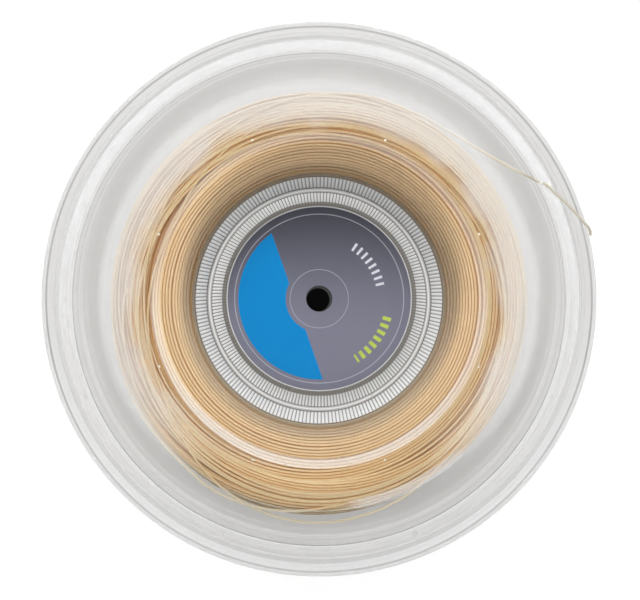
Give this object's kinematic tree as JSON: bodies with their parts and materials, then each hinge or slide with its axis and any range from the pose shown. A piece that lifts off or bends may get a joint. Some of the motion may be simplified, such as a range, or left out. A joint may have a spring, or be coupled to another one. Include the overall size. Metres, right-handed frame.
{
  "type": "racket string reel",
  "caption": "Clear flanged reel of racket string with a deep ribbed hub dish, a round card at its floor and the string's end led out over the rim.",
  "frame": {"origin": "on the reel's axis, in the plane of the back rim that the reel lies on", "axes": "+Z along the reel's axis from the back rim to the open side of the hub dish; +X is to the right and +Y is up when the dish is looked into, with the string's end leaving over the rim near +X"},
  "size_m": [0.26, 0.26, 0.0377],
  "materials": {
    "clear_front": "clear, glossy, formed from thin sheet",
    "clear_back": "clear, glossy, formed from thin sheet",
    "core": "plain brown-grey tube, slightly cloudy",
    "card": "printed and varnished",
    "inner_string": "closely wound string",
    "outer_string": "translucent natural string with a soft gloss"
  },
  "bodies": {
    "root": {"front_flange": "clear_front", "back_flange": "clear_back", "winding_core": "core", "label_card": "card", "string_pack": "inner_string", "string_outer_turns": "outer_string", "string_tail": "outer_string"}
  },
  "joints": []
}
